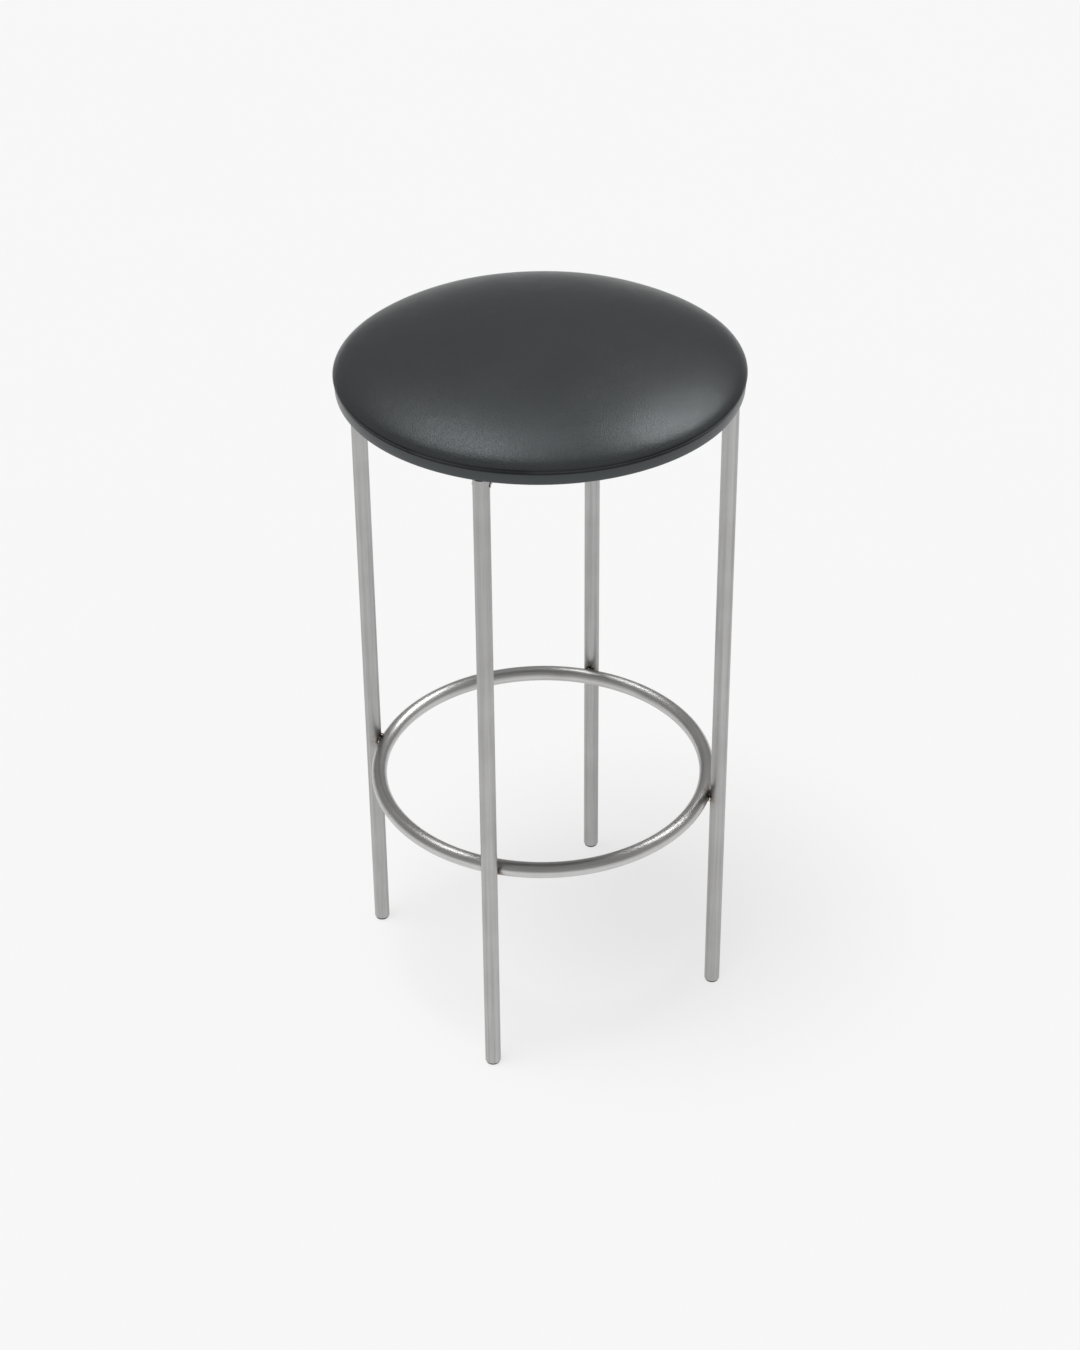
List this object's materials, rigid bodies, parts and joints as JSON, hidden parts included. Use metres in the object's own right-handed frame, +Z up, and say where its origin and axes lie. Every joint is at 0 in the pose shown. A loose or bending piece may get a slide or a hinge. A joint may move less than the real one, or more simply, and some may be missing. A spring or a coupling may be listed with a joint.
{
  "type": "bar stool",
  "caption": "Tall backless stool with a round padded seat on straight steel tube legs, with a ring footrest welded inside them.",
  "frame": {"origin": "on the floor, under the middle of the seat", "axes": "+Z up; the legs stand on the diagonals between X and Y, and -Y is the front"},
  "size_m": [0.398, 0.398, 0.754],
  "materials": {
    "frame_steel": "stainless steel, brushed lengthwise, satin",
    "ring_steel": "stainless steel, brushed round the ring, satin",
    "weld_steel": "stainless weld bead with a heat tint",
    "fastener_steel": "bright zinc-plated steel",
    "staple_steel": "galvanised staple wire",
    "glide_plastic": "dark grey nylon",
    "cover_leather": "smooth black leather, fine grain, semi-matte",
    "pad_foam": "cold-cure foam with a felt skin",
    "board_plywood": "birch plywood",
    "dust_cloth": "black non-woven cloth"
  },
  "bodies": {
    "root": {"leg_front_left": "frame_steel", "leg_front_right": "frame_steel", "leg_back_right": "frame_steel", "leg_back_left": "frame_steel", "glide_front_left": "glide_plastic", "glide_front_right": "glide_plastic", "glide_back_right": "glide_plastic", "glide_back_left": "glide_plastic", "cross_bar_long": "frame_steel", "cross_bar_front_left": "frame_steel", "cross_bar_back_right": "frame_steel", "footrest_ring": "ring_steel", "ring_butt_weld": "ring_steel", "ring_leg_welds": "weld_steel", "bar_leg_welds": "weld_steel", "bar_centre_welds": "weld_steel", "seat_board": "board_plywood", "seat_foam": "pad_foam", "seat_cover": "cover_leather", "dust_cloth": "dust_cloth", "hem_staples": "staple_steel", "cloth_staples": "staple_steel", "tee_nuts": "fastener_steel", "saddle_washers": "fastener_steel", "seat_screws": "fastener_steel"}
  },
  "joints": []
}
